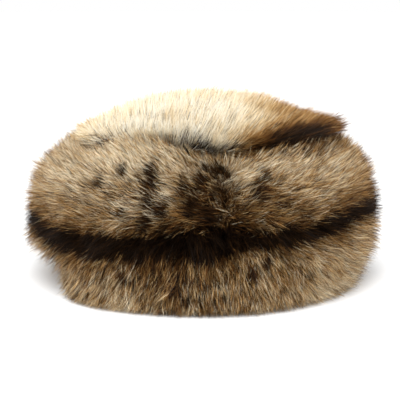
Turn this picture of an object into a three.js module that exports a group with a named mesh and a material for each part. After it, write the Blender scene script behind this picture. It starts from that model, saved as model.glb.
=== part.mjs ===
// A round fur hat: an oval leather tube closed by a domed leather top, both covered
// with deep fur. The fur of the side band and of the crown are solids of their outer
// form. Millimetres, +Z up, the front faces -Y, +X is to the right seen from the front,
// and the origin is the middle of the flat foot that the hat rests on.

import * as THREE from "three";
import { mergeVertices } from "three/addons/utils/BufferGeometryUtils.js";

// Half the width and depth of the head opening, for a head of about 58 cm
const headHalfWidth = 84;
const headHalfDepth = 100;

// Leather of the two pelts, butted along the crease with a small gap
const skinWall = 2.5;
const bandHeight = 102;
const crownSkinRise = 6;
const seamGap = 0.3;
const leatherHalfWidth = headHalfWidth + skinWall;

// Fur: width of the foot, height of the crown, and how far the crown's fur leans to
// the right over the heights where it does
const footWidth = 36;
const crownTop = 145.5;
const crownLean = 6;
const leanFrom = 112;
const leanTo = 121;

// Facets round the oval and along each section
const facetsRound = 60;
const facetTurn = (2 * Math.PI) / facetsRound;
const bandFacets = 20;
const crownFacets = 16;
const crownSkinFacets = 4;
const mergeTolerance = 1e-4;

// Side of the band's fur from the foot up over the shoulder and down into the crease.
// outset: mm out from the leather's outer face. puffed: share of a puff's rise taken.
const bandOutline = [
  { outset: footWidth, height: 0, puffed: 0 },
  { outset: 38.5, height: 4, puffed: 0 },
  { outset: 42.5, height: 14, puffed: 0 },
  { outset: 46.5, height: 28, puffed: 0 },
  { outset: 49.5, height: 46, puffed: 0 },
  { outset: 50, height: 62, puffed: 0 },
  { outset: 47, height: 81, puffed: 0.06 },
  { outset: 41, height: 93, puffed: 0.35 },
  { outset: 33, height: 100.5, puffed: 0.7 },
  { outset: 24, height: 105, puffed: 0.93 },
  { outset: 15, height: 106.5, puffed: 1 },
  { outset: 8.5, height: 105.4, puffed: 0.8 },
  { outset: 3.5, height: 103.4, puffed: 0.3 },
  { outset: seamGap, height: 101, puffed: 0 },
];

// Puffs along the top edge of the band by the angle round the hat in degrees, where
// 270 is the front. The dip at 280 is the V-shaped parting in front.
const crestPuffs = [
  { angle: 0, spread: 24, rise: 7 },
  { angle: 60, spread: 26, rise: 9 },
  { angle: 120, spread: 27, rise: 8 },
  { angle: 180, spread: 18, rise: 7 },
  { angle: 245, spread: 20, rise: 16 },
  { angle: 314, spread: 24, rise: 9 },
];

// Top and edge of the crown's fur. reach: share of the way from the middle to the
// leather's edge. outset: mm past that edge at the two sides of the hat. tucked: the
// same at its front and back. lifted: share taken of the rise of the band's puffs.
const crownOutline = [
  { reach: 0, outset: 0, tucked: 0, height: crownTop, lifted: 0 },
  { reach: 0.35, outset: 0, tucked: 0, height: 143.8, lifted: 0 },
  { reach: 0.62, outset: 0, tucked: 0, height: 139.6, lifted: 0 },
  { reach: 0.82, outset: 0, tucked: 0, height: 134.2, lifted: 0 },
  { reach: 1, outset: 3, tucked: 3, height: 127.4, lifted: 0.1 },
  { reach: 1, outset: 11, tucked: 8, height: 123.4, lifted: 0.25 },
  { reach: 1, outset: 16, tucked: 10.5, height: 118.5, lifted: 0.45 },
  { reach: 1, outset: 17.5, tucked: 11.5, height: 111.4, lifted: 0.82 },
  { reach: 1, outset: 14, tucked: 10.5, height: 108.4, lifted: 0.92 },
  { reach: 1, outset: 8, tucked: 6.5, height: 107, lifted: 0.8 },
  { reach: 1, outset: 3, tucked: 2, height: 105.8, lifted: 0.3 },
];

const fleshSide = new THREE.MeshStandardMaterial({ color: 0xcbb491, roughness: 0.9, metalness: 0 });
const bandCoat = new THREE.MeshStandardMaterial({ color: 0xa98a62, roughness: 1, metalness: 0 });
const crownCoat = new THREE.MeshStandardMaterial({ color: 0xe6d8bb, roughness: 1, metalness: 0 });

// Point of a section at a turn round the hat: the leather's outer oval is drawn in
// towards the axis by reach, then moved out along the oval's normal by outset, and to
// the right by lean.
function place(turn, { reach = 1, outset = 0, height, lean = 0 }) {
  const normal = new THREE.Vector2(
    Math.cos(turn) / headHalfWidth,
    Math.sin(turn) / headHalfDepth,
  ).normalize();
  const x = (headHalfWidth * Math.cos(turn) + skinWall * normal.x) * reach;
  const y = (headHalfDepth * Math.sin(turn) + skinWall * normal.y) * reach;
  return [x + outset * normal.x + lean, y + outset * normal.y, height];
}

// Rise of the band's top edge at a turn: a sum of bell-shaped puffs.
function crestRise(turn) {
  const degrees = THREE.MathUtils.radToDeg(turn);
  return crestPuffs.reduce((rise, puff) => {
    const away = THREE.MathUtils.euclideanModulo(degrees - puff.angle + 180, 360) - 180;
    return rise + puff.rise * Math.exp(-((away / puff.spread) ** 2));
  }, 0);
}

// Closed surface through one section for each turn. A section is a list of points: a
// looped one closes on itself, and another starts and ends on the axis, in a pole.
// Seen at turn 0, it runs anticlockwise round its solid.
function loft(section, looped) {
  const rows = Array.from({ length: facetsRound }, (_, i) => {
    const turn = i * facetTurn;
    return section(turn).map((point) => place(turn, point));
  });
  const count = rows[0].length;
  const steps = looped ? count : count - 1;
  const indices = [];
  for (let i = 0; i < facetsRound; i += 1) {
    const here = i * count;
    const next = ((i + 1) % facetsRound) * count;
    for (let j = 0; j < steps; j += 1) {
      const k = (j + 1) % count;
      indices.push(here + j, next + j, next + k, here + j, next + k, here + k);
    }
  }
  const geometry = new THREE.BufferGeometry();
  geometry.setAttribute("position", new THREE.Float32BufferAttribute(rows.flat(2), 3));
  geometry.setIndex(indices);
  return withoutFlatFaces(mergeVertices(geometry, mergeTolerance));
}

// Drops the faces that a pole has squeezed to a line.
function withoutFlatFaces(geometry) {
  const corners = geometry.index.array;
  const kept = [];
  for (let i = 0; i < corners.length; i += 3) {
    const [a, b, c] = corners.slice(i, i + 3);
    if (a !== b && b !== c && c !== a) {
      kept.push(a, b, c);
    }
  }
  geometry.setIndex(kept);
  return geometry;
}

// Smooth line through a table's rows, of facets + 1 points. Each row is a Vector3.
function smooth(rows, facets) {
  return new THREE.CatmullRomCurve3(rows, false, "centripetal").getPoints(facets);
}

// Even steps of reach from one value to another.
function reaches(from, to) {
  return Array.from({ length: crownSkinFacets + 1 }, (_, i) =>
    THREE.MathUtils.lerp(from, to, i / crownSkinFacets),
  );
}

// Oval tube with square edges: bottom, outer face, top and inner face.
function bandSkinGeometry() {
  return loft(
    () => [
      { outset: -skinWall, height: 0 },
      { outset: 0, height: 0 },
      { outset: 0, height: bandHeight },
      { outset: -skinWall, height: bandHeight },
    ],
    true,
  );
}

// Height of a shallow dome over the band's top edge, lifted by a clearance.
function crownDome(reach, lifted) {
  return bandHeight + crownSkinRise * (1 - reach ** 2) + lifted;
}

// Domed leather plate of even thickness, as wide as the tube.
function crownSkinGeometry() {
  const under = reaches(0, 1).map((reach) => ({ reach, height: crownDome(reach, seamGap) }));
  const over = reaches(1, 0).map((reach) => ({
    reach,
    height: crownDome(reach, seamGap + skinWall),
  }));
  return loft(() => [...under, ...over], false);
}

// Side of the band's fur at a turn, with its puffs.
function bandSide(turn) {
  const rise = crestRise(turn);
  const rows = bandOutline.map(
    (row) => new THREE.Vector3(row.outset, row.height + row.puffed * rise, 0),
  );
  return smooth(rows, bandFacets).map((point) => ({ outset: point.x, height: point.y }));
}

// Barrel-shaped ring: the flat foot, the side and the wall along the leather.
function bandFurGeometry() {
  return loft((turn) => [{ outset: seamGap, height: 0 }, ...bandSide(turn)], true);
}

// Domed pad: along the leather from the middle, out round the edge, which overhangs at
// the sides and is tucked in at the front and back, and back over the leaning top.
function crownFurGeometry() {
  const under = reaches(0, 1).map((reach) => ({
    reach,
    height: crownDome(reach, 2 * seamGap + skinWall),
  }));
  return loft((turn) => {
    const rise = crestRise(turn);
    const sideways = Math.cos(turn) ** 2;
    const rows = crownOutline.map(
      (row) =>
        new THREE.Vector3(
          row.reach * leatherHalfWidth,
          THREE.MathUtils.lerp(row.tucked, row.outset, sideways),
          row.height + row.lifted * rise,
        ),
    );
    const over = smooth(rows, crownFacets).map((point) => ({
      reach: point.x / leatherHalfWidth,
      outset: point.y,
      height: point.z,
      lean: crownLean * THREE.MathUtils.smoothstep(point.z, leanFrom, leanTo),
    }));
    return [...under, ...over.reverse()];
  }, false);
}

function piece(name, geometry, material) {
  geometry.computeVertexNormals();
  const mesh = new THREE.Mesh(geometry, material);
  mesh.name = name;
  return mesh;
}

const hat = new THREE.Group();
hat.name = "fur_hat";
hat.add(
  piece("band_skin", bandSkinGeometry(), fleshSide),
  piece("crown_skin", crownSkinGeometry(), fleshSide),
  piece("band_fur", bandFurGeometry(), bandCoat),
  piece("crown_fur", crownFurGeometry(), crownCoat),
);

export default hat;
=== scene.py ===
import bpy
import numpy as np
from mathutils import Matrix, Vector


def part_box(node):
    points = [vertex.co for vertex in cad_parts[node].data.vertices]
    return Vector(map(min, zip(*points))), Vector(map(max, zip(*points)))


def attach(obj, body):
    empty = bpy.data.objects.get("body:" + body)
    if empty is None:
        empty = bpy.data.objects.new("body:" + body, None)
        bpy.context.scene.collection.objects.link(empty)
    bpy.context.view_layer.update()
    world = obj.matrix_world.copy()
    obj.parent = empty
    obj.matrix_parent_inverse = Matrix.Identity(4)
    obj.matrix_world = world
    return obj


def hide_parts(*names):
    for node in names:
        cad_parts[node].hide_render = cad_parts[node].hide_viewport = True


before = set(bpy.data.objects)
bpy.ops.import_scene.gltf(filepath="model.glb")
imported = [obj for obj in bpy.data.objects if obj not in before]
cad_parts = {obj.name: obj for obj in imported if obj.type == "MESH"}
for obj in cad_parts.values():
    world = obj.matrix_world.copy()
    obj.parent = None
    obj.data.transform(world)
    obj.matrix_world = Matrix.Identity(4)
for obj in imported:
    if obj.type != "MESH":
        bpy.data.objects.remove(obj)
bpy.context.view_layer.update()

# The leather of the hat: an oval wall and a shallow domed top, cut from the pelts and
# sewn edge to edge along the crease. Its napped flesh side is turned in, towards the
# head, and the hair grows from its other side.

MM = 0.001
WALL = 2.5
SEAM_GAP = 0.3
CROWN_RISE = 6.0
leather_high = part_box("band_skin")[1]
BAND_HEIGHT = leather_high.z / MM
LEATHER_HALF_WIDTH = leather_high.x / MM
LEATHER_HALF_DEPTH = leather_high.y / MM
FLESH_LIGHT = (206, 178, 138)
FLESH_DARK = (164, 130, 92)

# Noise scales of the leather's mottling and of its nap, and the relief's height in metres
FLESH_PATCH = 28.0
FLESH_NAP = 900.0
FLESH_RELIEF = 0.0008


class Wire:
    """A socket of a shader node, or only a tree where it has none. Arithmetic on it adds
    Math nodes, and node() adds any other node."""

    def __init__(self, tree, socket=None):
        self.tree = tree
        self.socket = socket

    def node(self, kind, settings=None, inputs=None, output=0):
        """Adds a node: its settings first, then the values or wires of its sockets."""
        made = self.tree.nodes.new(kind)
        for name, value in (settings or {}).items():
            if name == "stops":
                Wire.set_stops(made.color_ramp, value)
            else:
                setattr(made, name, value)
        for name, value in (inputs or {}).items():
            if isinstance(value, Wire):
                self.tree.links.new(value.socket, made.inputs[name])
            else:
                made.inputs[name].default_value = value
        return Wire(self.tree, made.outputs[output] if made.outputs else None)

    @staticmethod
    def set_stops(ramp, stops):
        """Gives a colour ramp its stops, each a position and a colour."""
        while len(ramp.elements) < len(stops):
            ramp.elements.new(1.0)
        for element, (position, colour) in zip(ramp.elements, stops):
            element.position = position
            element.color = (*colour, 1.0)

    def math(self, operation, first, second, clamped=False):
        """A Math node on two values or wires."""
        settings = {"operation": operation, "use_clamp": clamped}
        return self.node("ShaderNodeMath", settings, {0: first, 1: second})

    def __add__(self, other):
        return self.math("ADD", self, other)

    def __sub__(self, other):
        return self.math("SUBTRACT", self, other)

    def __rsub__(self, other):
        return self.math("SUBTRACT", other, self)

    def __mul__(self, other):
        return self.math("MULTIPLY", self, other)

    def clamped(self):
        """This value, kept within 0 and 1."""
        return self.math("ADD", self, 0.0, clamped=True)

    def near(self, value):
        """1 less the distance from a value, and never below 0: 1 where a whole number is
        that value and 0 where it isn't."""
        distance = self.node("ShaderNodeMath", {"operation": "ABSOLUTE"}, {0: self - value})
        return 1 - distance.clamped()

    def rise(self, start, end):
        """0 below start, 1 above end, and smooth between them."""
        return self.node(
            "ShaderNodeMapRange",
            {"interpolation_type": "SMOOTHSTEP"},
            {"Value": self, "From Min": start, "From Max": end},
        )

    def mix(self, low, high):
        """Colour low where this mask is 0 and high where it is 1."""
        return self.node(
            "ShaderNodeMix", {"data_type": "RGBA"}, {0: self, 6: low, 7: high}, output=2
        )


def srgb(colour):
    """Linear colour of three values of 0 to 255: a share of up to 0.04045 over 12.92, and
    a higher one plus 0.055, over 1.055, to the power 2.4."""
    share = np.array(colour) / 255
    linear = np.where(share <= 0.04045, share / 12.92, ((share + 0.055) / 1.055) ** 2.4)
    return tuple(float(value) for value in linear)


def new_material(name):
    """An empty node material and the wire that adds to it."""
    material = bpy.data.materials.new(name)
    material.use_nodes = True
    material.node_tree.nodes.clear()
    return material, Wire(material.node_tree)


def close_material(tree, inputs):
    """Ends a material with its shader, whose sockets are given, and its output."""
    shader = tree.node("ShaderNodeBsdfPrincipled", {}, inputs)
    tree.node("ShaderNodeOutputMaterial", {}, {"Surface": shader})


def flesh_material():
    """Napped flesh side of a pelt: mottled tan with a short, soft pile. The colour and
    the relief follow sums of a wide and a very fine noise."""
    material, tree = new_material("pelt_leather")
    where = tree.node("ShaderNodeTexCoord", output=3)
    mottle = tree.node(
        "ShaderNodeTexNoise",
        {},
        {"Vector": where, "Scale": FLESH_PATCH, "Detail": 5.0, "Roughness": 0.62},
    )
    nap = tree.node(
        "ShaderNodeTexNoise",
        {},
        {"Vector": where, "Scale": FLESH_NAP, "Detail": 3.0, "Roughness": 0.7},
    )
    brushed = (mottle * 0.75 + nap * 0.25).rise(0.32, 0.68)
    colour = brushed.mix((*srgb(FLESH_DARK), 1.0), (*srgb(FLESH_LIGHT), 1.0))
    relief = tree.node(
        "ShaderNodeBump",
        {},
        {"Height": nap * 0.7 + mottle * 0.3, "Strength": 0.55, "Distance": FLESH_RELIEF},
    )
    close_material(
        tree,
        {
            "Base Color": colour,
            "Roughness": nap.rise(0.2, 0.8) * 0.12 + 0.82,
            "Normal": relief,
            "Sheen Weight": 0.25,
            "Specular IOR Level": 0.25,
        },
    )
    return material


def crown_dome(reach):
    """Height of the leather top's upper face, which falls by the square of reach: 0 in
    its middle and 1 at its edge."""
    return BAND_HEIGHT + SEAM_GAP + WALL + CROWN_RISE * (1 - reach**2)


flesh_side = flesh_material()
for name in ("band_skin", "crown_skin"):
    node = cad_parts[name]
    node.data.materials.clear()
    node.data.materials.append(flesh_side)

# The dense underfur of the side band: soft wool that stands half as deep as the long
# hair and hides the leather. It is a closed barrel-shaped ring round the leather wall,
# from the foot over the shoulder and down into the crease.

HEAD_HALF_WIDTH = LEATHER_HALF_WIDTH - WALL
HEAD_HALF_DEPTH = LEATHER_HALF_DEPTH - WALL
FULL_TURN = 2 * np.pi

# outset, height, puffed: the outer form of the band's fur, as in the frame
BAND_OUTLINE = np.array([
    [36, 0, 0],
    [38.5, 4, 0],
    [42.5, 14, 0],
    [46.5, 28, 0],
    [49.5, 46, 0],
    [50, 62, 0],
    [47, 81, 0.06],
    [41, 93, 0.35],
    [33, 100.5, 0.7],
    [24, 105, 0.93],
    [15, 106.5, 1],
    [8.5, 105.4, 0.8],
    [3.5, 103.4, 0.3],
    [SEAM_GAP, 101.0, 0.0],
])

# angle, spread, rise: puffs along the band's top edge. The front is at 270 degrees.
CREST_PUFFS = np.array([
    [0, 24, 7],
    [60, 26, 9],
    [120, 27, 8],
    [180, 18, 7],
    [245, 20, 16],
    [314, 24, 9],
])

# Hair on the band fans out from this height: the leather that it grows from is
# stretched over less of the height than its tips are.
FAN_HEIGHT = 62.0
FAN_SHARE = 0.62

BAND_WOOL_DEPTH = 0.52
BAND_WOOL_TURNS = 220
BAND_WOOL_ROWS = 44
# Painted shade that darkens the band's wool more, for its depth among the hairs
BAND_WOOL_PAINTED_SHADE = 0.14

# Height and width of the wool's tufts, which rise over these distances from the leather
WOOL_TUFTS = 1.6
WOOL_TUFT_SIZE = 9.0
TUFTS_BEGIN = (1.0, 8.0)

RIPPLE_WAVES = 24


def unit(vectors):
    """Vectors over their own lengths."""
    return vectors / np.linalg.norm(vectors, axis=-1, keepdims=True)


def away_from(degrees, centre):
    """Signed angle from a centre, from -180 to 180 degrees."""
    return (degrees - centre + 180) % 360 - 180


def bell(values, centre, width):
    """1 at the centre, and elsewhere e to the power of minus the square of the distance
    over the width."""
    return np.exp(-(((values - centre) / width) ** 2))


def smoothstep(values, start, end):
    """0 before start, 1 after end, and three squares less two cubes of the share of the
    way between them."""
    share = np.clip((values - start) / (end - start), 0, 1)
    return share * share * (3 - 2 * share)


def along_table(table, along, lengths):
    """Catmull-Rom curve through a table's rows. along is 0 at the first row and 1 at the
    last, spaced by the length of the line through the columns given."""
    steps = np.linalg.norm(np.diff(table[:, lengths], axis=0), axis=1)
    knots = np.append(0, np.cumsum(steps)) / steps.sum()
    position = np.interp(along, knots, np.arange(len(table)))
    row = np.clip(position.astype(int), 0, len(table) - 2)
    t = (position - row)[..., None]
    before = table[np.maximum(row - 1, 0)]
    here = table[row]
    there = table[row + 1]
    after = table[np.minimum(row + 2, len(table) - 1)]
    straight = there - before
    bend = 2 * before - 5 * here + 4 * there - after
    twist = 3 * here - before - 3 * there + after
    return here + 0.5 * (straight * t + bend * t**2 + twist * t**3)


def place(turn, reach, outset, height, lean=0.0):
    """Point at a turn round the hat: the leather's oval drawn in towards the axis by
    reach, moved out along the oval's normal by outset and to the right by lean."""
    around = np.stack([np.cos(turn), np.sin(turn)], axis=-1)
    normal = unit(around / [HEAD_HALF_WIDTH, HEAD_HALF_DEPTH])
    leather = around * [HEAD_HALF_WIDTH, HEAD_HALF_DEPTH] + WALL * normal
    flat = leather * np.asarray(reach)[..., None] + normal * np.asarray(outset)[..., None]
    x = flat[..., 0] + lean
    y = flat[..., 1]
    return np.stack([x, y, np.broadcast_to(height, x.shape)], axis=-1)


def crest_rise(turn):
    """Rise of the band's top edge: a sum of bell-shaped puffs."""
    away = away_from(np.degrees(turn)[..., None], CREST_PUFFS[:, 0])
    return (CREST_PUFFS[:, 2] * bell(away, 0, CREST_PUFFS[:, 1])).sum(-1)


def band_form(turn, along, depth):
    """Point in the band's fur. along runs from the foot to the crease, and depth from
    0 on the leather, where the hair is rooted, to 1 at the tips of the dense fur."""
    outset, height, puffed = np.moveaxis(along_table(BAND_OUTLINE, along, [0, 1]), -1, 0)
    height = height + puffed * crest_rise(turn)
    root = FAN_HEIGHT + FAN_SHARE * (height - FAN_HEIGHT)
    return place(turn, np.ones_like(turn), depth * outset, root + depth * (height - root))


def ripple(points, seed, size):
    """Smooth noise of about -1 to 1 at points in millimetres: the sum of sine waves of
    random direction and phase, whose length is about size, over the root of half their
    number."""
    draw = np.random.default_rng(seed)
    direction = unit(draw.normal(size=(RIPPLE_WAVES, 3)))
    waves = direction * FULL_TURN / (size * draw.uniform(0.7, 1.6, (RIPPLE_WAVES, 1)))
    phase = draw.uniform(0, FULL_TURN, RIPPLE_WAVES)
    return np.sin(points @ waves.T + phase).sum(-1) / np.sqrt(RIPPLE_WAVES / 2)


def ripples(points, seeds, size):
    """A smooth random vector at each point, with one noise for each of its three parts."""
    return np.stack([ripple(points, seed, size) for seed in seeds], axis=-1)


def grid_faces(rows, columns, columns_close):
    """Four-sided faces of a grid of points whose rows go round the hat and close, and
    whose columns may close too. A face joins neighbours in two rows and two columns."""
    row, column = np.meshgrid(
        np.arange(rows),
        np.arange(columns if columns_close else columns - 1),
        indexing="ij",
    )
    next_row = (row + 1) % rows
    next_column = (column + 1) % columns
    corners = [
        row * columns + column,
        next_row * columns + column,
        next_row * columns + next_column,
        row * columns + next_column,
    ]
    return np.stack(corners, axis=-1).reshape(-1, 4)


def put_mesh(name, points, faces, material):
    """A piece of the hat from points in millimetres and faces with equal corners."""
    count, corners = faces.shape
    mesh = bpy.data.meshes.new(name)
    mesh.vertices.add(len(points))
    mesh.vertices.foreach_set("co", (points * MM).astype(np.float32).ravel())
    mesh.loops.add(count * corners)
    mesh.loops.foreach_set("vertex_index", faces.astype(np.int32).ravel())
    mesh.polygons.add(count)
    mesh.polygons.foreach_set("loop_start", np.arange(0, count * corners, corners, dtype=np.int32))
    mesh.polygons.foreach_set("use_smooth", np.ones(count, dtype=bool))
    mesh.update(calc_edges=True)
    mesh.validate()
    mesh.materials.append(material)
    piece = bpy.data.objects.new(name, mesh)
    bpy.context.scene.collection.objects.link(piece)
    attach(piece, "root")
    return piece


# Colours of single hairs, from the palest to the darkest. A hair's tone is its place
# along this scale, from 0 to 1.
HAIR_COLOURS = [
    (0.0, (255, 251, 238)),
    (0.14, (249, 238, 213)),
    (0.28, (234, 211, 168)),
    (0.42, (206, 167, 110)),
    (0.55, (163, 119, 66)),
    (0.67, (115, 73, 32)),
    (0.79, (66, 42, 19)),
    (0.9, (32, 19, 8)),
    (1.0, (12, 7, 4)),
]

# Shares of a hair's length where a dark root fades, where a pale tip begins, where a
# dark tip begins and where the painted shade of the hairs around it ends
ROOT_FADES = (0.42, 0.74)
PALE_TIP_BEGINS = (0.6, 0.88)
DARK_TIP_BEGINS = (0.7, 0.88)
SHADE_ENDS = (0.25, 0.95)

# How much darker such a root and tip are, and the light that the painted shade leaves at
# a root: in a hair of two colours, and what one of a single colour has over that
DARK_ROOT = 0.5
DARK_TIP = 0.45
ROOT_SHADE = 0.3
SOFT_SHADE = 0.35

# Crimp of the wool: its noise scale, its contrast and its relief's height in metres
CRIMP = 700.0
CRIMP_CONTRAST = 0.5
CRIMP_RELIEF = 0.0015
# Painted shade that darkens all the wool, for its depth among the hairs
WOOL_PAINTED_SHADE = 0.1


def hair_colour(tone, along=None, kind=None):
    """Colour of hair by its tone. Along a hair, a painted shade darkens it towards its root,
    least in kind 0. A hair of kind 1 is dark up to its middle, one of kind 2 has a dark tip,
    and one of kind 3 is dark up to its pale tip."""
    stops = [(where, srgb(colour)) for where, colour in HAIR_COLOURS]
    if along is None:
        return tone.node("ShaderNodeValToRGB", {"stops": stops}, {"Fac": tone})
    pale_tipped = (kind - 2).clamped()
    below = kind.near(1) * (1 - along.rise(*ROOT_FADES))
    below = below + pale_tipped * (1 - along.rise(*PALE_TIP_BEGINS))
    above = kind.near(2) * along.rise(*DARK_TIP_BEGINS)
    banded = (tone + below * DARK_ROOT + above * DARK_TIP).clamped()
    ramp = tone.node("ShaderNodeValToRGB", {"stops": stops}, {"Fac": banded})
    # Painted shade of the hairs around it: darkest at the root and least in kind 0
    root = (1 - kind).clamped() * SOFT_SHADE + ROOT_SHADE
    shade = along.rise(*SHADE_ENDS) * (1 - root) + root
    return ramp.node("ShaderNodeVectorMath", {"operation": "SCALE"}, {0: ramp, "Scale": shade})


def wool_material():
    """Matt, crimped wool: the tone comes with the mesh, mottled, with a fine crimp and
    darkened by a painted shade of its depth.
    """
    material, tree = new_material("underfur")
    tone = tree.node("ShaderNodeAttribute", {"attribute_name": "tone"}, output=2)
    where = tree.node("ShaderNodeTexCoord", output=3)
    crimp = tree.node(
        "ShaderNodeTexNoise",
        {},
        {"Vector": where, "Scale": CRIMP, "Detail": 4.0, "Roughness": 0.75},
    )
    colour = hair_colour((tone + (crimp - 0.5) * CRIMP_CONTRAST + WOOL_PAINTED_SHADE).clamped())
    relief = tree.node(
        "ShaderNodeBump", {}, {"Height": crimp, "Strength": 0.9, "Distance": CRIMP_RELIEF}
    )
    close_material(
        tree,
        {"Base Color": colour, "Roughness": 0.95, "Normal": relief, "Specular IOR Level": 0.1},
    )
    return material


# turn, height, half_turn, half_height, darker, grizzled: patches of the band's coat.
# darker moves the tone, and grizzled is the share of black hairs mixed in.
BAND_PATCHES = np.array([
    [269, 74, 20, 26, 0.03, 0.22],
    [260, 84, 66, 20, 0.07, 0.07],
    [196, 26, 12, 16, -0.12, -0.12],
    [304, 78, 8, 16, 0.06, 0.06],
    [273, 88, 9, 16, 0.06, 0.3],
    [262, 74, 6, 9, 0.1, 0.15],
    [256, 82, 8, 12, -0.14, -0.14],
    [250, 67, 6, 7, 0.12, 0.2],
    [297, 76, 9, 8, 0.08, 0.1],
    [222, 10, 14, 14, -0.08, 0],
    [277, 6, 9, 12, 0.08, 0.14],
    [319, 110, 16, 5, 0.12, 0.3],
    [245, 113, 24, 16, -0.2, -0.16],
    [284, 105, 11, 14, -0.12, -0.2],
    [297, 99, 8, 6, -0.05, -0.05],
    [285, 74, 6, 10, 0.1, 0.05],
    [292, 89, 8, 8, 0.04, 0.12],
    [248, 86, 12, 12, -0.04, 0.16],
    [252, 73, 9, 12, -0.1, -0.04],
    [286, 12, 14, 14, -0.05, -0.06],
    [264, 14, 10, 16, 0.05, 0.1],
    [345, 60, 10, 34, -0.01, 0.02],
    [258, 26, 36, 26, 0.1, 0.26],
    [203, 66, 24, 26, -0.03, 0],
    [215, 20, 22, 20, 0.03, 0.08],
    [262, 79, 5, 7, 0.12, 0.1],
    [285, 68, 5, 6, 0.12, 0.1],
    [305, 68, 6, 6, 0.12, 0.1],
    [205, 106, 30, 22, -0.26, 0],
    [226, 88, 16, 24, -0.06, 0.04],
    [315, 98, 22, 18, -0.09, 0],
    [332, 10, 16, 16, -0.14, 0],
    [343, 6, 13, 15, -0.27, 0],
    [214, 64, 14, 12, 0.12, 0],
    [255, 98, 7, 8, -0.08, -0.1],
    [287, 98, 7, 7, -0.08, -0.1],
    [311, 105, 12, 9, -0.12, -0.1],
    [320, 4, 12, 10, -0.1, 0],
    [254, 20, 9, 14, 0.08, 0.1],
    [334, 77, 14, 9, 0.17, 0],
    [305, 16, 10, 14, 0.08, 0.06],
    [90, 40, 55, 60, -0.07, 0.06],
    [60, 92, 18, 16, 0.02, 0.22],
    [128, 84, 16, 18, 0.05, 0.2],
    [10, 22, 20, 18, 0.03, 0.16],
    [160, 20, 22, 18, 0.02, 0.14],
])

# turn, height, size: small black tufts
BAND_TUFTS = np.array([
    [231, 90, 3],
    [239, 100, 3.5],
    [250, 101, 4.5],
    [251, 91, 5],
    [251, 81, 4.5],
    [256, 76, 5],
    [251, 66, 5],
    [243, 72, 3],
    [263, 90, 3.5],
    [266, 80, 4],
    [269, 94, 4.5],
    [271, 70, 7],
    [271, 105, 3],
    [275, 102, 4],
    [279, 98, 4],
    [294, 97, 3.8],
    [290, 87, 5],
    [298, 79, 3],
    [286, 27, 4],
    [291, 36, 3.5],
    [243, 24, 3.5],
    [262, 18, 3],
    [30, 80, 4],
    [74, 86, 4.5],
    [104, 78, 4],
    [133, 88, 4.5],
    [150, 30, 4],
    [20, 34, 4],
])

# turn, height, half_width: the dark stripe's course round the band
BAND_STRIPE = np.array([
    [202, 47, 8.5],
    [214, 46, 9.5],
    [226, 44, 11],
    [240, 45, 11],
    [258, 49, 12.5],
    [275, 51, 12],
    [285, 55, 8],
    [293, 53, 7.5],
    [309, 54, 8.5],
    [323, 61, 8],
    [335, 61.5, 8],
    [350, 60.5, 7],
    [360, 58.5, 6],
    [405, 58, 5.5],
    [450, 51, 5],
    [505, 47, 6],
    [562, 47, 8.5],
])
BAND_TONE = 0.3
FLECKS = 0.07
STRIPE_TONE = 0.97
MM_PER_DEGREE = 2.35
TUFT_SCALE = 1.25
TUFT_STRENGTH = 1.1
MOST_BLACK = 0.95

# Black hairs stand in small groups, where a ripple is above these limits: their share
# is halved between groups and more within one
PEPPER_LIMITS = (0.6, 1.5)
PEPPER_LEAST = 0.5
PEPPER_MORE = 3.0

# Ripples of the stripe's course and edges, and the edge over which it fades, in mm
COURSE_RIPPLE = 1.2
EDGE_RIPPLE = 1.0
STRIPE_EDGE = (-4.5, 3.5)

# How much darker the coat is beside the stripe, and how far from it
BESIDE_STRIPE = 0.16
BESIDE_WIDTH = 6.0


def patch_weights(table, degrees, height):
    """Weight of each patch of a table: e to the power of minus the squares of the turn
    and the height from its middle, over its half sizes."""
    turn = away_from(degrees[..., None], table[:, 0]) / table[:, 2]
    rise = (height[..., None] - table[:, 1]) / table[:, 3]
    return np.exp(-(turn**2) - rise**2)


def tuft_mask(tufts, degrees, height):
    """1 within a tuft, fading to 0 at its edge: e to the power of minus the cube of the
    distance over the tuft's size."""
    turn = away_from(degrees[..., None], tufts[:, 0]) * MM_PER_DEGREE
    rise = height[..., None] - tufts[:, 1]
    return np.exp(-((turn**2 + rise**2) / (TUFT_SCALE * tufts[:, 2]) ** 2) ** 1.5).max(-1)


def round_oval(points):
    """Turn of points round the hat's oval, in radians."""
    return np.arctan2(points[..., 1] / HEAD_HALF_DEPTH, points[..., 0] / HEAD_HALF_WIDTH)


def band_coat(points):
    """Tone and share of black hairs at points of the band, and its stripe's mask. Tone
    and share are sums over patches and ripples, and the mask falls across the edge."""
    degrees = np.degrees(round_oval(points))
    height = points[..., 2]
    weights = patch_weights(BAND_PATCHES, degrees, height)
    pepper = smoothstep(ripple(points, 7, 8), *PEPPER_LIMITS)
    black = (weights @ BAND_PATCHES[:, 5] + FLECKS) * (PEPPER_LEAST + PEPPER_MORE * pepper)
    black = black + TUFT_STRENGTH * tuft_mask(BAND_TUFTS, degrees, height)
    black = np.clip(black, 0, MOST_BLACK)
    start = BAND_STRIPE[0, 0]
    course = start + (degrees - start) % 360
    middle = np.interp(course, BAND_STRIPE[:, 0], BAND_STRIPE[:, 1])
    half = np.interp(course, BAND_STRIPE[:, 0], BAND_STRIPE[:, 2])
    off_middle = height - middle + COURSE_RIPPLE * ripple(points, 3, 40)
    edge = np.abs(off_middle) - half + EDGE_RIPPLE * ripple(points, 4, 11)
    stripe = 1 - smoothstep(edge, *STRIPE_EDGE)
    tone = BAND_TONE + weights @ BAND_PATCHES[:, 4]
    tone = tone + 0.035 * ripple(points, 5, 45) + 0.03 * ripple(points, 6, 14)
    tone = tone + BESIDE_STRIPE * bell(np.maximum(edge, 0), 0, BESIDE_WIDTH)
    return tone, black, stripe


WOOL_BLACK = 0.3


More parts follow.
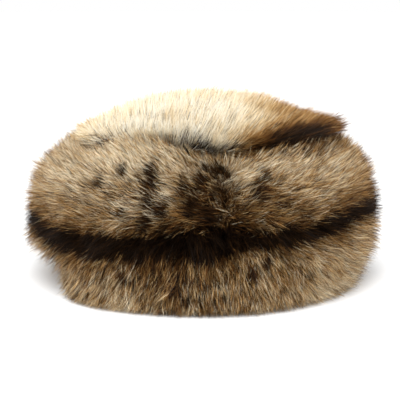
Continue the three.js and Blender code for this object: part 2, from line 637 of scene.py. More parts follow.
def wool_tone(coat, points, darker):
    """Mean tone of the wool between the hairs, made darker than they are by a painted
    shade of its depth: the coat's tone, raised by its share of black hairs and by darker,
    the painted shade, and turned into the stripe's by its mask."""
    tone, black, stripe = coat(points)
    return np.clip(tone + black * WOOL_BLACK + darker + stripe * (STRIPE_TONE - tone), 0, 1)


def put_wool(name, grid, columns_close, coat, darker, node):
    """The wool of a pelt over a grid of points, with its tone as an attribute, standing
    for a node of the frame. darker is the painted shade of its depth among the hairs."""
    points = grid.reshape(-1, 3)
    piece = put_mesh(name, points, grid_faces(*grid.shape[:2], columns_close), underfur)
    tone = piece.data.attributes.new("tone", "FLOAT", "POINT")
    tone.data.foreach_set("value", wool_tone(coat, points, darker).astype(np.float32))
    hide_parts(node)


def band_wool_points():
    """Grid of the wool's ring: rows round the hat, columns up its side and then down
    its wall along the leather. The side is the band's form at the wool's depth, raised
    out of the leather by a ripple."""
    turn = np.linspace(0, FULL_TURN, BAND_WOOL_TURNS, endpoint=False)[:, None]
    along = np.linspace(0, 1, BAND_WOOL_ROWS)[None, :]
    turn, along = np.broadcast_arrays(turn, along)
    side = band_form(turn, along, BAND_WOOL_DEPTH)
    centre = place(turn, np.ones_like(turn), np.zeros_like(turn), side[..., 2])
    out = unit(side - centre + [0, 0, 1e-6])
    held = smoothstep(np.linalg.norm(side - centre, axis=-1), *TUFTS_BEGIN)
    side = side + out * (held * WOOL_TUFTS * ripple(side, 11, WOOL_TUFT_SIZE))[..., None]
    first = turn[:, :1]
    foot = place(first, np.ones_like(first), np.full_like(first, SEAM_GAP), 0.0)
    return np.concatenate([foot, side], axis=1)


underfur = wool_material()
grid = band_wool_points()
put_wool("band_underfur", grid, True, band_coat, BAND_WOOL_PAINTED_SHADE, "band_fur")

# The long hair of the side band: tapered hairs in loose locks that grow out of the
# wool, lean away from the middle of the front and fan up over the shoulder and down
# to the foot. The dark stripe round the band is its own colour.

BAND_PARTS = ("front", "right", "back", "left")
BAND_LOCKS = 11700
LOCK_HAIRS = 8
LOCK_SPREAD = 2.2
BAND_GATHER = (0.5, 1.0)

# Shares of a hair's length at which its points lie: its root, widest place and tip
HAIR_ROWS = np.array([0.0, 0.62, 1.0])
HAIR_WIDTH = 0.38
WIDTH_SPREAD = (0.6, 1.25)

# Least, likeliest and greatest mm by which the hairs of a lock and of a wisp end past
# the dense fur, and a hair past its lock. A wisp is a lock that closes in and sticks out.
LOCK_REACH = (-8.0, -2.5, 0.5)
WISP_REACH = (0.5, 2.5, 9.0)
HAIR_REACH = (-3.5, 0.0, 1.2)
WISP_SHARE = 0.08

# Guard hairs are single hairs that stick out, a little thinner and darker than the rest
GUARD_SHARE = 0.08
GUARD_REACH = (2.0, 9.0)
GUARD_THINNER = 0.1
GUARD_DARKER = 0.12

# A hair's share of its lock's pull, its scatter as a share of its length, and how far
# it bows outwards and, with its lock and by itself, to either side
HAIR_PULL = (0.5, 1.0)
SCATTER = 0.07
OUTWARD_BOW = (0.05, 0.35)
LOCK_SWAY = 1.6
HAIR_SWAY = 1.1
BAND_CURL = 0.42

# A direction that no hair lies along
ASKEW = [0.31, 0.17, 0.94]

# The colour chart has a row with a margin for each kind of hair, and a hair spans a
# step of it to each side
KINDS = 4
ROW_MARGIN = 0.02
TONE_MARGIN = 0.004
TONE_STEP = 0.0012

LEATHER_CLEARANCE = 0.6
LEAST_REACH = 0.05
FLOOR_CLEARANCE = 0.3


def hair_material():
    """Hair by the chart of its map: across it the tone, and up it a row for each kind
    of hair, from the root to the tip."""
    material, tree = new_material("hair")
    chart = tree.node("ShaderNodeUVMap", {"uv_map": "OFBake"})
    across = tree.node("ShaderNodeSeparateXYZ", {}, {"Vector": chart}, output=0)
    upward = tree.node("ShaderNodeSeparateXYZ", {}, {"Vector": chart}, output=1) * KINDS
    kind = tree.node("ShaderNodeMath", {"operation": "FLOOR"}, {0: upward})
    colour = hair_colour(across, upward - kind, kind)
    close_material(tree, {"Base Color": colour, "Roughness": 0.55, "Specular IOR Level": 0.12})
    return material


def grow_hairs(draw, tips, grain, normal, lengths, gather, proud, curl):
    """Hairs of locks, of three points each, and which of them are guard hairs or wisps.
    They start on a disc one length before their lock's tip and end near it, drawn in by
    its gather. proud and curl are the shares taken of their reach and sideways bow. A
    hair is the line between its ends plus its bow times t (1 - t), where t is 0 to 1."""
    size = (len(tips), LOCK_HAIRS, 1)
    lock_size = (len(tips), 1, 1)
    tips = tips[:, None]
    grain = grain[:, None]
    normal = normal[:, None]
    lengths = lengths[:, None, None]
    across = unit(np.cross(grain, ASKEW))
    upward = np.cross(grain, across)
    angle = draw.uniform(0, FULL_TURN, size)
    out = LOCK_SPREAD * np.sqrt(draw.uniform(0, 1, size))
    offset = out * (np.cos(angle) * across + np.sin(angle) * upward)
    wisp = draw.uniform(0, 1, lock_size) < WISP_SHARE
    lock_reach = draw.triangular(*LOCK_REACH, lock_size)
    lock_reach = np.where(wisp, draw.triangular(*WISP_REACH, lock_size), lock_reach)
    reach = lock_reach + draw.triangular(*HAIR_REACH, size)
    guard = draw.uniform(0, 1, size) < GUARD_SHARE
    reach = np.where(guard, draw.uniform(*GUARD_REACH, size), reach) * proud[:, None, None]
    gather = np.where(wisp[:, 0, 0], 1.0, gather)
    pull = gather[:, None, None] * draw.uniform(*HAIR_PULL, size)
    stray = lengths * SCATTER * draw.normal(size=(len(tips), LOCK_HAIRS, 3))
    start = tips - grain * lengths + offset
    end = tips + offset * (1 - pull) + grain * reach + stray
    chord = end - start
    line = unit(chord)
    bow = normal - line * (normal * line).sum(-1, keepdims=True)
    bow = bow * draw.uniform(*OUTWARD_BOW, size)
    sway = draw.uniform(-LOCK_SWAY, LOCK_SWAY, lock_size) + draw.uniform(-HAIR_SWAY, HAIR_SWAY, size)
    bow = (bow + curl[:, None, None] * sway * np.cross(line, normal)) * lengths
    t = HAIR_ROWS[:, None]
    path = start[:, :, None] + chord[:, :, None] * t + bow[:, :, None] * t * (1 - t)
    return path.reshape(-1, len(HAIR_ROWS), 3), (guard | wisp).ravel()


def leather_reach(points):
    """Distance from the hat's axis as a share of an oval a little outside the leather."""
    half = np.array([LEATHER_HALF_WIDTH, LEATHER_HALF_DEPTH]) + LEATHER_CLEARANCE
    return np.linalg.norm(points[..., :2] / half, axis=-1)


def out_of_wall(points):
    """Points below the leather top, moved straight out past the leather wall: their
    distance from the axis is divided by their reach."""
    reach = leather_reach(points)
    under = (reach < 1) & (points[..., 2] < crown_dome(reach) + LEATHER_CLEARANCE)
    moved = points.copy()
    moved[..., :2] /= np.where(under, np.maximum(reach, LEAST_REACH), 1)[..., None]
    return moved


def hair_faces(count):
    """Two triangles for each hair's four points: from its root to its two sides, and on
    to its tip."""
    one = np.array([[0, 2, 1], [1, 2, 3]])
    return (one[None] + 4 * np.arange(count)[:, None, None]).reshape(-1, 3)


def put_hairs(name, draw, paths, tone, kind, thickness):
    """Flat, tapered hairs along paths, each turned its own way about its line: a path's
    middle point is moved half a thickness to both sides. A hair's place on the colour
    chart is its tone across, and its kind plus its share of the length up."""
    count = len(paths)
    line = unit(paths[:, -1] - paths[:, 0])
    side = unit(np.cross(line, draw.normal(size=(count, 3))))
    half = 0.5 * thickness[:, None] * draw.uniform(*WIDTH_SPREAD, (count, 1)) * side
    root, middle, tip = np.moveaxis(paths, 1, 0)
    points = np.stack([root, middle - half, middle + half, tip], axis=1)
    points[..., 2] = np.maximum(points[..., 2], FLOOR_CLEARANCE)
    faces = hair_faces(count)
    piece = put_mesh(name, points.reshape(-1, 3), faces, hair)
    step = np.array([0, -1, 1, 0]) * TONE_STEP
    u = np.clip(tone, TONE_MARGIN, 1 - TONE_MARGIN)[:, None] + step
    rise = HAIR_ROWS[[0, 1, 1, 2]]
    v = (kind[:, None] + ROW_MARGIN + (1 - 2 * ROW_MARGIN) * rise) / KINDS
    chart = np.stack([u, v], axis=-1).reshape(-1, 2)
    layer = piece.data.uv_layers.new(name="OFBake")
    layer.data.foreach_set("uv", chart[faces.ravel()].astype(np.float32).ravel())


# A hair takes the coat's colour between its middle and its tip, nearer to the tip
TIP_WEIGHT = 0.7

# Spread of tone from hair to hair, and how much paler a black hair and a hair of the
# stripe may be
HAIR_MOTTLE = 0.05
BLACK_SPREAD = 0.28
STRIPE_SPREAD = 0.2

# Chances of a pale and of a dark tip, and what the share of black hairs adds to them.
# Pale hairs are often of one colour, and dark ones always are.
PALE_TIPPED = (0.5, 0.4)
DARK_TIPPED = (0.1, 0.25)
PLAIN_CHANCE = 0.55
PALE_TONE = 0.26
DARK_TONE = 0.7


def dye(draw, coat, paths, guard, guard_darker, dark_tipped, mottle, palest):
    """Tone and kind of each hair. The tone is the coat's plus random shifts of its lock,
    by mottle, and of its own, and guard hairs are darker. Hairs are black or of the
    stripe by the coat's shares, and dark_tipped is a guard hair's chance of kind 2."""
    tone, black, stripe = coat((1 - TIP_WEIGHT) * paths[:, 1] + TIP_WEIGHT * paths[:, 2])
    count = len(paths)
    locks = count // LOCK_HAIRS
    chance = np.repeat(draw.uniform(0, 1, locks), LOCK_HAIRS) + 0.1 * draw.normal(size=count)
    shift = np.repeat(draw.normal(0, mottle, locks), LOCK_HAIRS)
    tone = tone + shift + draw.normal(0, HAIR_MOTTLE, count) + guard_darker * guard
    tone = np.maximum(tone, palest)
    darkened = 1 - BLACK_SPREAD * draw.uniform(0, 1, count) ** 1.5
    tone = np.where(chance < black, darkened, tone)
    striped = STRIPE_TONE - STRIPE_SPREAD * draw.uniform(0, 1, count) ** 4
    tone = np.where(draw.uniform(0, 1, count) < stripe, striped, tone)
    pale_chance = PALE_TIPPED[0] + PALE_TIPPED[1] * black
    dark_chance = DARK_TIPPED[0] + DARK_TIPPED[1] * black
    kind = np.where(draw.uniform(0, 1, count) < pale_chance, 3, 1)
    kind = np.where(draw.uniform(0, 1, count) < dark_chance, 2, kind)
    plain = (tone < PALE_TONE) & (draw.uniform(0, 1, count) < PLAIN_CHANCE)
    kind = np.where(plain, 0, kind)
    kind = np.where(guard & (draw.uniform(0, 1, count) < dark_tipped), 2, kind)
    kind = np.where(tone > DARK_TONE, 0, kind)
    return tone, kind


def outward(form, turn, along):
    """Unit normal of a form at its surface: the cross product of its slopes each way."""
    step = 0.004
    round_it = form(turn + step, along, 1.0) - form(turn - step, along, 1.0)
    above = form(turn, np.minimum(along + step, 1), 1.0)
    below = form(turn, np.maximum(along - step, 0), 1.0)
    return unit(np.cross(round_it, above - below))


# Shares by which the hair at the foot stands out past the outline, all round and at a
# corner's turn, half_turn and share, and by which it is tucked at the left and right
FOOT_SPREAD = 0.08
FOOT_CORNER = (226.0, 18.0, 0.2)
TUCK_LEFT = 0.4
TUCK_RIGHT = 0.06


def foot_spread(turn):
    """Share by which the tips at the foot stand out past the outline: a bell at the
    corner, less the fourth power of the cosine to the left and its square to the right."""
    left = np.maximum(-np.cos(turn), 0)
    right = np.maximum(np.cos(turn), 0)
    centre, width, share = FOOT_CORNER
    corner = share * bell(away_from(np.degrees(turn), centre), 0, width)
    return FOOT_SPREAD + corner - TUCK_LEFT * left**4 - TUCK_RIGHT * right**2


# turn, height, half_turn, half_height, share: bulges and hollows of the band, by which
# the tips of its hair stand out past its form
BAND_BULGES = np.array([
    [0, 53, 28, 19, 0.05],
    [188, 40, 24, 14, 0.03],
    [352, 100, 30, 11, 0.08],
    [198, 14, 30, 10, -0.2],
    [190, 108, 40, 12, -0.12],
])

# height, half_height, share: the bulge low on both sides
SKIRT = (31.0, 11.0, 0.08)
SIDES_DRAWN_IN = 0.05

# Shares by which the shoulder is drawn in at the back and in front, and how much less
# it is to the sides of the front
BACK_TUCK = 0.08
FRONT_TUCK = 0.2
SIDE_TUCK = 0.12

# Heights where the foot's hair ends and where the shoulder begins and is full
FOOT_TOP = 34.0
SHOULDER = (84.0, 104.0)

# Hair is combed away from this turn in front, most above where the fan begins
FRONT_PARTING = 278.0
PARTING_EDGE = 8.0
PARTING_WIDTH = 50.0
FAN_BEGINS = (56.0, 76.0)
SIDE_COMB = 0.2
PARTING_COMB = 0.8

# Degrees by which hair points up, for each mm above the fan's height, and its limits.
# Near the crease it points up more, and at the right corner of the front it lies level.
LIFT_PER_MM = 1.2
LOWEST_LIFT = -48.0
HIGHEST_LIFT = 66.0
CREASE_LIFT = 26.0
CREASE_BEGINS = (0.82, 0.95)
LEVEL_TURN = 336.0
LEVEL_WIDTH = 26.0
LEVEL_SHARE = 0.7


def band_hairs(draw, first_turn):
    """Locks on a quarter of the band, spread evenly: the share of the way round of lock n
    is the part after the point of n times the golden ratio. They point along the band's
    normal, turned up by the lift and round the hat by the comb, plus two ripples."""
    index = np.arange(BAND_LOCKS)
    share = (index * (np.sqrt(5) - 1) / 2) % 1
    turn = first_turn + share * FULL_TURN / 4
    degrees = np.degrees(turn)
    along = (index + 0.5) / BAND_LOCKS
    edge = band_form(turn, along, 1.0)
    height = edge[:, 2]
    foot = 1 - smoothstep(height, 0, FOOT_TOP)
    shoulder = smoothstep(height, *SHOULDER)
    sides = np.cos(turn) ** 2
    tuck = np.where(np.sin(turn) > 0, BACK_TUCK, FRONT_TUCK - SIDE_TUCK * sides)
    bulge = patch_weights(BAND_BULGES, degrees, height) @ BAND_BULGES[:, 4]
    bulge = bulge + SKIRT[2] * sides**2 * bell(height, SKIRT[0], SKIRT[1])
    depth = 1 - SIDES_DRAWN_IN * sides - shoulder * tuck + foot * foot_spread(turn) + bulge
    tips = band_form(turn, along, depth)
    roots = band_form(turn, along, 0.0)
    normal = outward(band_form, turn, along)
    tangent = np.stack([-np.sin(turn), np.cos(turn), 0 * turn], axis=-1)
    parting = away_from(degrees, FRONT_PARTING)
    fan = np.tanh(parting / PARTING_EDGE) * bell(parting, 0, PARTING_WIDTH)
    fan = fan * smoothstep(height, *FAN_BEGINS)
    comb = SIDE_COMB * np.sin(np.radians(parting)) + PARTING_COMB * fan
    swirl = 0.1 * ripples(tips, (21, 22, 23), 20) + 0.14 * ripples(tips, (24, 25, 26), 8)
    lift = np.clip(LIFT_PER_MM * (height - FAN_HEIGHT), LOWEST_LIFT, HIGHEST_LIFT)
    level = LEVEL_SHARE * bell(away_from(degrees, LEVEL_TURN), 0, LEVEL_WIDTH)
    lift = np.where(lift < 0, lift * (1 - level), lift)
    lift = np.radians(lift + CREASE_LIFT * smoothstep(along, *CREASE_BEGINS))
    flat = unit(normal * [1, 1, 0] + 0.5 * unit(edge - roots) * [1, 1, 0])
    raised = np.cos(lift)[:, None] * flat + np.sin(lift)[:, None] * [0, 0, 1]
    grain = unit(raised + comb[:, None] * tangent + swirl)
    lengths = 0.42 * np.linalg.norm(tips - roots, axis=-1) + 7.0
    gather = draw.uniform(*BAND_GATHER, BAND_LOCKS)
    proud = 1 - 0.5 * foot - 0.4 * shoulder * (1 - 0.8 * sides)
    proud = proud + 0.8 * (1 - sides) * smoothstep(along, 0.74, 0.86)
    curl = np.full(BAND_LOCKS, BAND_CURL)
    return grow_hairs(draw, tips, grain, normal, lengths, gather, proud, curl)


hair = hair_material()
for number, part in enumerate(BAND_PARTS):
    draw = np.random.default_rng(100 + number)
    paths, guard = band_hairs(draw, np.radians(225 + 90 * number))
    tone, kind = dye(draw, band_coat, paths, guard, GUARD_DARKER, 0.6, mottle=0.13, palest=0.18)
    thickness = HAIR_WIDTH * (1 - GUARD_THINNER * guard)
    put_hairs(f"band_hair_{part}", draw, out_of_wall(paths), tone, kind, thickness)

# The hair under the foot: it grows from the lower edge of the leather and sweeps out
# along the surface that the hat rests on. Its colour is only darkened towards its roots
# by painted shade.

FOOT_LOCKS = 1200
FOOT_INNER = 5.0
FOOT_TIP_HEIGHT = 0.8
FOOT_LIFT = np.radians(-24)
FOOT_GATHER = (0.3, 0.9)
FOOT_PROUD = 0.5
FOOT_HAIR_WIDTH = 0.85
GOLDEN_TURN = np.pi * (3 - np.sqrt(5))


def foot_hairs(draw):
    """Locks under the foot, each a golden turn from the last and a step further out, so
    that their tips lie evenly over its ring. They point out and down, plus a random
    vector, and are the longer the further out they end."""
    index = np.arange(FOOT_LOCKS)
    turn = index * GOLDEN_TURN
    outer = BAND_OUTLINE[0, 0] * (1 + foot_spread(turn))
    outset = FOOT_INNER + (outer - FOOT_INNER) * (index + 0.5) / FOOT_LOCKS
    ones = np.ones(FOOT_LOCKS)
    tips = place(turn, ones, outset, FOOT_TIP_HEIGHT)
    out = unit(place(turn, ones, outset + 1, 0.0) - place(turn, ones, outset, 0.0))
    swirl = 0.25 * draw.normal(size=(FOOT_LOCKS, 3)) * [1, 1, 0.2]
    grain = unit(np.cos(FOOT_LIFT) * out + [0, 0, np.sin(FOOT_LIFT)] + swirl)
    lengths = 9.0 + 0.3 * outset
    gather = draw.uniform(*FOOT_GATHER, FOOT_LOCKS)
    proud = np.full(FOOT_LOCKS, FOOT_PROUD)
    curl = np.full(FOOT_LOCKS, BAND_CURL)
    return grow_hairs(draw, tips, grain, -out, lengths, gather, proud, curl)


draw = np.random.default_rng(150)
paths, guard = foot_hairs(draw)
tone = dye(draw, band_coat, paths, guard, GUARD_DARKER, dark_tipped=0.7, mottle=0.1, palest=0.2)[0]
kind = np.zeros(len(paths))
thickness = np.full(len(paths), FOOT_HAIR_WIDTH)
put_hairs("foot_hair", draw, out_of_wall(paths), tone, kind, thickness)

# The underfur of the crown: a domed pad of the same wool on the leather top, inside
# the band's shoulder.

# reach, outset at the sides, outset at the front and back, height, lifted: the outer
# form of the crown's fur from the crease up to the middle, as in the frame
crown_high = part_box("crown_fur")[1]
CROWN_OUTLINE = np.array([
    [1, 3, 2, 105.8, 0.3],
    [1, 8, 6.5, 107, 0.8],
    [1, 14, 10.5, 108.4, 0.92],
    [1, 17.5, 11.5, 111.4, 0.82],
    [1, 16, 10.5, 118.5, 0.45],
    [1, 11, 8, 123.4, 0.25],
    [1, 3, 3, 127.4, 0.1],
    [0.82, 0, 0, 134.2, 0],
    [0.62, 0, 0, 139.6, 0],
    [0.35, 0, 0, 143.8, 0],
    [0, 0, 0, crown_high.z / MM, 0],
])
CROWN_OUTLINE[:, 0] *= LEATHER_HALF_WIDTH
CROWN_LEAN = 6.0
LEAN_HEIGHTS = (112.0, 121.0)
ROOT_REACH = 0.88

# The wool is hollowed out at one place along the side: its place, width and depth
CROWN_WOOL_DEPTH = 0.5
CROWN_WOOL_HOLLOW = (0.3, 0.14, 0.14)
CROWN_WOOL_TURNS = 160
CROWN_WOOL_ROWS = 30
CROWN_WOOL_LOWEST = 4.0
UNDERSIDE_ROWS = 8
UNDERSIDE_REACH = 0.97


def crown_form(turn, along, depth):
    """Point in the crown's fur: along from the crease to the middle, depth 0 on the
    leather and 1 at the tips of the dense fur."""
    row = along_table(CROWN_OUTLINE, along, [0, 1, 3])
    reach = row[..., 0] / LEATHER_HALF_WIDTH
    outset = row[..., 2] + np.cos(turn) ** 2 * (row[..., 1] - row[..., 2])
    height = row[..., 3] + row[..., 4] * crest_rise(turn)
    lean = CROWN_LEAN * smoothstep(height, *LEAN_HEIGHTS)
    root_reach = reach * ROOT_REACH
    root = crown_dome(root_reach) + SEAM_GAP
    return place(
        turn,
        root_reach + depth * (reach - root_reach),
        depth * outset,
        root + depth * (height - root),
        depth * lean,
    )


# x, y, z: the course of the slanting dark stripe over the crown's right
CROWN_STRIPE = np.array([
    [53, -99, 108.5],
    [62, -92, 114],
    [78, -74, 117],
    [97, -45, 114],
    [110, -9, 111],
    [112, 22, 109],
])
CROWN_STRIPE_HALF = 10.5
CROWN_STRIPE_EDGE = (-5.0, 4.0)

# x, y, z, size, darker: the tan spot on the crown's front
CROWN_TAN = np.array([34.0, -104.0, 116.0, 22.0, 0.16])

# x, y, z, size, share: grizzled tufts along the crown's front edge
CROWN_TUFTS = np.array([
    [-5, -108, 118, 9, 0.6],
    [1, -113, 110, 8, 0.65],
    [14, -115, 109, 7, 0.7],
    [25, -113, 111, 7, 0.7],
    [36, -109, 111, 6, 0.6],
    [-21, -106, 117, 7, 0.5],
    [-8, -102, 124, 12, 0.13],
    [20, -108, 117, 8, 0.16],
    [-74, -71, 114, 7, 0.9],
    [-86, -54, 111, 5, 0.9],
    [-68, -74, 120, 8, 0.35],
    [-62, -76, 124, 24, 0.07],
])
CROWN_FLECKS = 0.03
CROWN_MOST_BLACK = 0.92

# The crown is ivory in its middle. start, end, amount: it is darker to the right, to the
# left, to the back and at its top, and its stripe and the shade beside it fade outwards.
CROWN_TONE = 0.08
DARKER_RIGHT = (22.0, 70.0, 0.36)
DARKER_LEFT = (52.0, 100.0, 0.13)
DARKER_BACK = (20.0, 110.0, 0.14)
DARKER_TOP = (139.0, 149.0, 0.12)
STRIPE_FADES = (90.0, 112.0, 0.7)
SHADE_FADES = (80.0, 105.0, 0.6)
SHADE_DARKER = 0.34
SHADE_WIDTH = 12.0

# Painted shade darkens the coat and adds black hairs low in the crease, outside the
# leather's edge, but for its front left
CREASE_SHADE_HEIGHTS = (103.0, 109.0)
CREASE_SHADE_REACH = (0.98, 1.08)
CREASE_SHADE_GAP = (236.0, 22.0, 0.8)
CREASE_PAINTED_SHADE = 0.18
CREASE_SHADE_BLACK = 0.12


def shaded(values, shade):
    """0 before a shade's start, its amount after its end, and smooth between them."""
    start, end, amount = shade
    return amount * smoothstep(values, start, end)


def to_line(points, line):
    """Distance from points to a line through the rows of a table: the least of those to
    the nearest point of each of its steps."""
    best = np.full(points.shape[:-1], np.inf)
    for start, end in zip(line[:-1], line[1:]):
        step = end - start
        share = np.clip((points - start) @ step / (step @ step), 0, 1)
        gap = np.linalg.norm(points - start - share[..., None] * step, axis=-1)
        best = np.minimum(best, gap)
    return best


def crown_coat(points):
    """Tone and share of black hairs at points of the crown, and its stripe's mask: sums
    of shades, ripples, painted shade in the crease and bell-shaped spots and tufts."""
    x, y, z = np.moveaxis(points, -1, 0)
    tone = CROWN_TONE + shaded(x, DARKER_RIGHT) + shaded(-x, DARKER_LEFT)
    tone = tone + shaded(y, DARKER_BACK) + shaded(z, DARKER_TOP)
    tone = tone + 0.03 * ripple(points, 31, 40) + 0.025 * ripple(points, 32, 12)
    turn = round_oval(points)
    # Painted shade low in the crease: it darkens the coat and adds black hairs, less at the front
    # left
    crease = 1 - smoothstep(z - crest_rise(turn), *CREASE_SHADE_HEIGHTS)
    crease = crease * smoothstep(leather_reach(points), *CREASE_SHADE_REACH)
    pale_turn, pale_width, paler = CREASE_SHADE_GAP
    crease = crease * (1 - paler * bell(away_from(np.degrees(turn), pale_turn), 0, pale_width))
    gap = np.linalg.norm(points - CROWN_TAN[:3], axis=-1)
    tone = tone + CREASE_PAINTED_SHADE * crease + CROWN_TAN[4] * bell(gap, 0, CROWN_TAN[3])
    gap = np.linalg.norm(points[..., None, :] - CROWN_TUFTS[:, :3], axis=-1)
    tufts = bell(gap, 0, CROWN_TUFTS[:, 3]) @ CROWN_TUFTS[:, 4]
    black = CROWN_FLECKS + CREASE_SHADE_BLACK * crease + tufts
    edge = to_line(points, CROWN_STRIPE) - CROWN_STRIPE_HALF + 0.8 * ripple(points, 33, 14)
    stripe = (1 - smoothstep(edge, *CROWN_STRIPE_EDGE)) * (1 - shaded(x, STRIPE_FADES))
    beside = SHADE_DARKER * bell(np.maximum(edge, 0), 0, SHADE_WIDTH)
    tone = tone + beside * (1 - shaded(x, SHADE_FADES))
    return tone, np.clip(black, 0, CROWN_MOST_BLACK), stripe


def crown_wool_points():
    """Grid of the wool's pad: rows round the hat, columns from the middle of its flat
    underside out to the edge and back over the top, which is raised by a ripple."""
    turn = np.linspace(0, FULL_TURN, CROWN_WOOL_TURNS, endpoint=False)[:, None]
    along = np.linspace(0, 1, CROWN_WOOL_ROWS)[None, :]
    reach = np.linspace(0, UNDERSIDE_REACH, UNDERSIDE_ROWS)[None, :]
    under_turn, reach = np.broadcast_arrays(turn, reach)
    under = place(under_turn, reach, np.zeros_like(reach), crown_dome(reach) + SEAM_GAP)
    turn, along = np.broadcast_arrays(turn, along)
    centre, width, sunk = CROWN_WOOL_HOLLOW
    top = crown_form(turn, along, CROWN_WOOL_DEPTH - sunk * bell(along, centre, width))
    top[..., 2] += WOOL_TUFTS * ripple(top, 12, WOOL_TUFT_SIZE)
    top[..., 2] = np.maximum(top[..., 2], BAND_HEIGHT + CROWN_WOOL_LOWEST)
    return np.concatenate([under, top], axis=1)


grid = crown_wool_points()
put_wool("crown_underfur", grid, False, crown_coat, 0.0, "crown_fur")

# The long hair of the crown: it stands up out of the crease and fans to both sides and
# to the back. Many hairs are dark up to their middle and pale above it.

CROWN_LOCKS = 11700
CROWN_GATHER = (0.3, 0.9)
CROWN_GUARD_DARKER = 0.1
CROWN_CURL = 0.08
RIM = (0.14, 0.36)

# Place and width of the flare low on the side, as shares of the way up, and how far the
# tips stand out there in mm, in front and behind, and at the right
FLARE = (0.13, 0.06)
FLARE_FRONT = 3.0
FLARE_RIGHT = 3.5

# How far they are drawn in, and the place, width and depth of hollows where it is more
DRAWN_IN = 0.8
FRONT_HOLLOW = (0.29, 0.07, 4.0)
RIGHT_HOLLOW = (0.42, 0.2, 4.0)
LEFT_HOLLOW = (0.22, 0.14, 4.0)

# tone, chance, kind: hairs paler than the tone are often of the kind
CROWN_KINDS = [(0.7, 0.9, 1), (0.3, 0.7, 0)]


def over_top(points):
    """Points below the leather top, moved up onto it."""
    reach = leather_reach(points)
    floor = np.where(reach < 1, crown_dome(reach) + LEATHER_CLEARANCE, 0)
    moved = points.copy()
    moved[..., 2] = np.maximum(points[..., 2], floor)
    return moved


def hollow(along, shape):
    """Depth of a bell-shaped hollow at a share of the way up."""
    centre, width, depth = shape
    return depth * bell(along, centre, width)


def crown_hairs(draw):
    """Locks over the crown, spread evenly by a sunflower lattice: each is a golden turn
    from the last, as far from the middle as the root of its share of the count. Their
    directions are from root to tip plus a comb, a ripple and, at the rim, the normal."""
    index = np.arange(CROWN_LOCKS)
    turn = index * GOLDEN_TURN
    along = 1 - np.sqrt((index + 0.5) / CROWN_LOCKS)
    tips = crown_form(turn, along, 1.0)
    roots = crown_form(turn, along, 0.0)
    normal = outward(crown_form, turn, along)
    sides = np.cos(turn) * np.abs(np.cos(turn))
    front = 1 - np.abs(sides)
    right = np.maximum(sides, 0)
    left = np.maximum(-sides, 0)
    flare = bell(along, *FLARE) * (FLARE_FRONT * front + FLARE_RIGHT * right)
    dip = DRAWN_IN + hollow(along, FRONT_HOLLOW) * front
    dip = dip + hollow(along, RIGHT_HOLLOW) * right
    dip = dip + hollow(along, LEFT_HOLLOW) * left
    tips = tips + flare[:, None] * unit(normal * [1, 1, 0.01]) - dip[:, None] * normal
    rim = 1 - smoothstep(along, *RIM)
    tips[:, 2] += 1.5 * rim * ripple(tips, 44, 24)
    comb = np.stack([
        0.22 + 0.5 * tips[:, 0] / 100,
        0.15 + 0.45 * smoothstep(tips[:, 1], -112, -60),
        np.full(CROWN_LOCKS, 0.3),
    ], axis=-1)
    swirl = 0.12 * ripples(tips, (41, 42, 43), 18)
    grain = unit(unit(tips - roots) + comb + swirl + 0.65 * rim[:, None] * normal)
    lengths = 0.5 * np.linalg.norm(tips - roots, axis=-1) + 12.0
    gather = draw.uniform(*CROWN_GATHER, CROWN_LOCKS)
    proud = 0.7 + 0.7 * rim * right
    curl = CROWN_CURL + 0.25 * rim * right
    return grow_hairs(draw, tips, grain, normal, lengths, gather, proud, curl)


draw = np.random.default_rng(200)
paths, guard = crown_hairs(draw)
tone, kind = dye(draw, crown_coat, paths, guard, CROWN_GUARD_DARKER, 0.0, mottle=0.05, palest=0.0)
for limit, chance, often in CROWN_KINDS:
    kind = np.where((tone < limit) & (draw.uniform(0, 1, len(tone)) < chance), often, kind)
thickness = HAIR_WIDTH * (1 - GUARD_THINNER * guard)
put_hairs("crown_hair", draw, over_top(paths), tone, kind, thickness)

# The studio: a wide pale floor, even light from all round and a large soft light above
# and in front of the hat, seen from a little above.

FLOOR_RADIUS = 9.0
FLOOR_SIDES = 96
FLOOR_DARK = (0.92, 0.92, 0.92, 1.0)
FLOOR_LIGHT = (0.95, 0.95, 0.95, 1.0)
SUN_DIRECTION = (0.1, 0.75, -1.0)
SUN_STRENGTH = 3.4
SUN_SOFTNESS = np.radians(45)
SKY_LIGHT = 0.8
CAMERA_DISTANCE = 1.0
CAMERA_ELEVATION = np.radians(9.0)
CAMERA_LENS = 114.4
LENS_CENTRE = Vector((0.0, 0.0, 0.07))
AIM = Vector((-0.002, 0.0, 0.058))


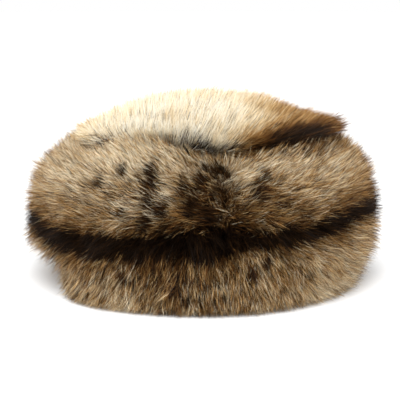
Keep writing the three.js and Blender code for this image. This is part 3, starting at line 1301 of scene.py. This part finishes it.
def put_floor():
    """A round floor, flat and far wider than the hat."""
    turn = np.linspace(0, FULL_TURN, FLOOR_SIDES, endpoint=False)
    rim = FLOOR_RADIUS * np.stack([np.cos(turn), np.sin(turn), 0 * turn], axis=-1)
    mesh = bpy.data.meshes.new("floor")
    mesh.from_pydata(rim.tolist(), [], [list(range(FLOOR_SIDES))])
    material, tree = new_material("floor")
    where = tree.node("ShaderNodeTexCoord", output=3)
    grain = tree.node("ShaderNodeTexNoise", {}, {"Vector": where, "Scale": 3.0, "Detail": 3.0})
    colour = grain.mix(FLOOR_DARK, FLOOR_LIGHT)
    close_material(tree, {"Base Color": colour, "Roughness": 0.9, "Specular IOR Level": 0.1})
    mesh.materials.append(material)
    floor = bpy.data.objects.new("floor", mesh)
    bpy.context.scene.collection.objects.link(floor)


put_floor()
light = bpy.data.lights.new("key", "SUN")
light.energy = SUN_STRENGTH
light.angle = SUN_SOFTNESS
lamp = bpy.data.objects.new("key", light)
lamp.rotation_euler = Vector(SUN_DIRECTION).to_track_quat("-Z", "Y").to_euler()
bpy.context.scene.collection.objects.link(lamp)

world = bpy.data.worlds.new("studio")
world.use_nodes = True
sky = Wire(world.node_tree)
seen = sky.node("ShaderNodeLightPath")
strength = seen * (1.0 - SKY_LIGHT) + SKY_LIGHT
background = world.node_tree.nodes["Background"]
world.node_tree.links.new(strength.socket, background.inputs["Strength"])
background.inputs["Color"].default_value = (1.0, 1.0, 1.0, 1.0)
bpy.context.scene.world = world
bpy.context.scene.view_settings.view_transform = "Standard"

camera_data = bpy.data.cameras.new("camera")
camera_data.sensor_width = 36.0
camera_data.lens = CAMERA_LENS
camera = bpy.data.objects.new("camera", camera_data)
back = Vector((0.0, -np.cos(CAMERA_ELEVATION), np.sin(CAMERA_ELEVATION)))
camera.location = LENS_CENTRE + back * CAMERA_DISTANCE
camera.rotation_euler = (AIM - camera.location).to_track_quat("-Z", "Y").to_euler()
bpy.context.scene.collection.objects.link(camera)
bpy.context.scene.camera = camera
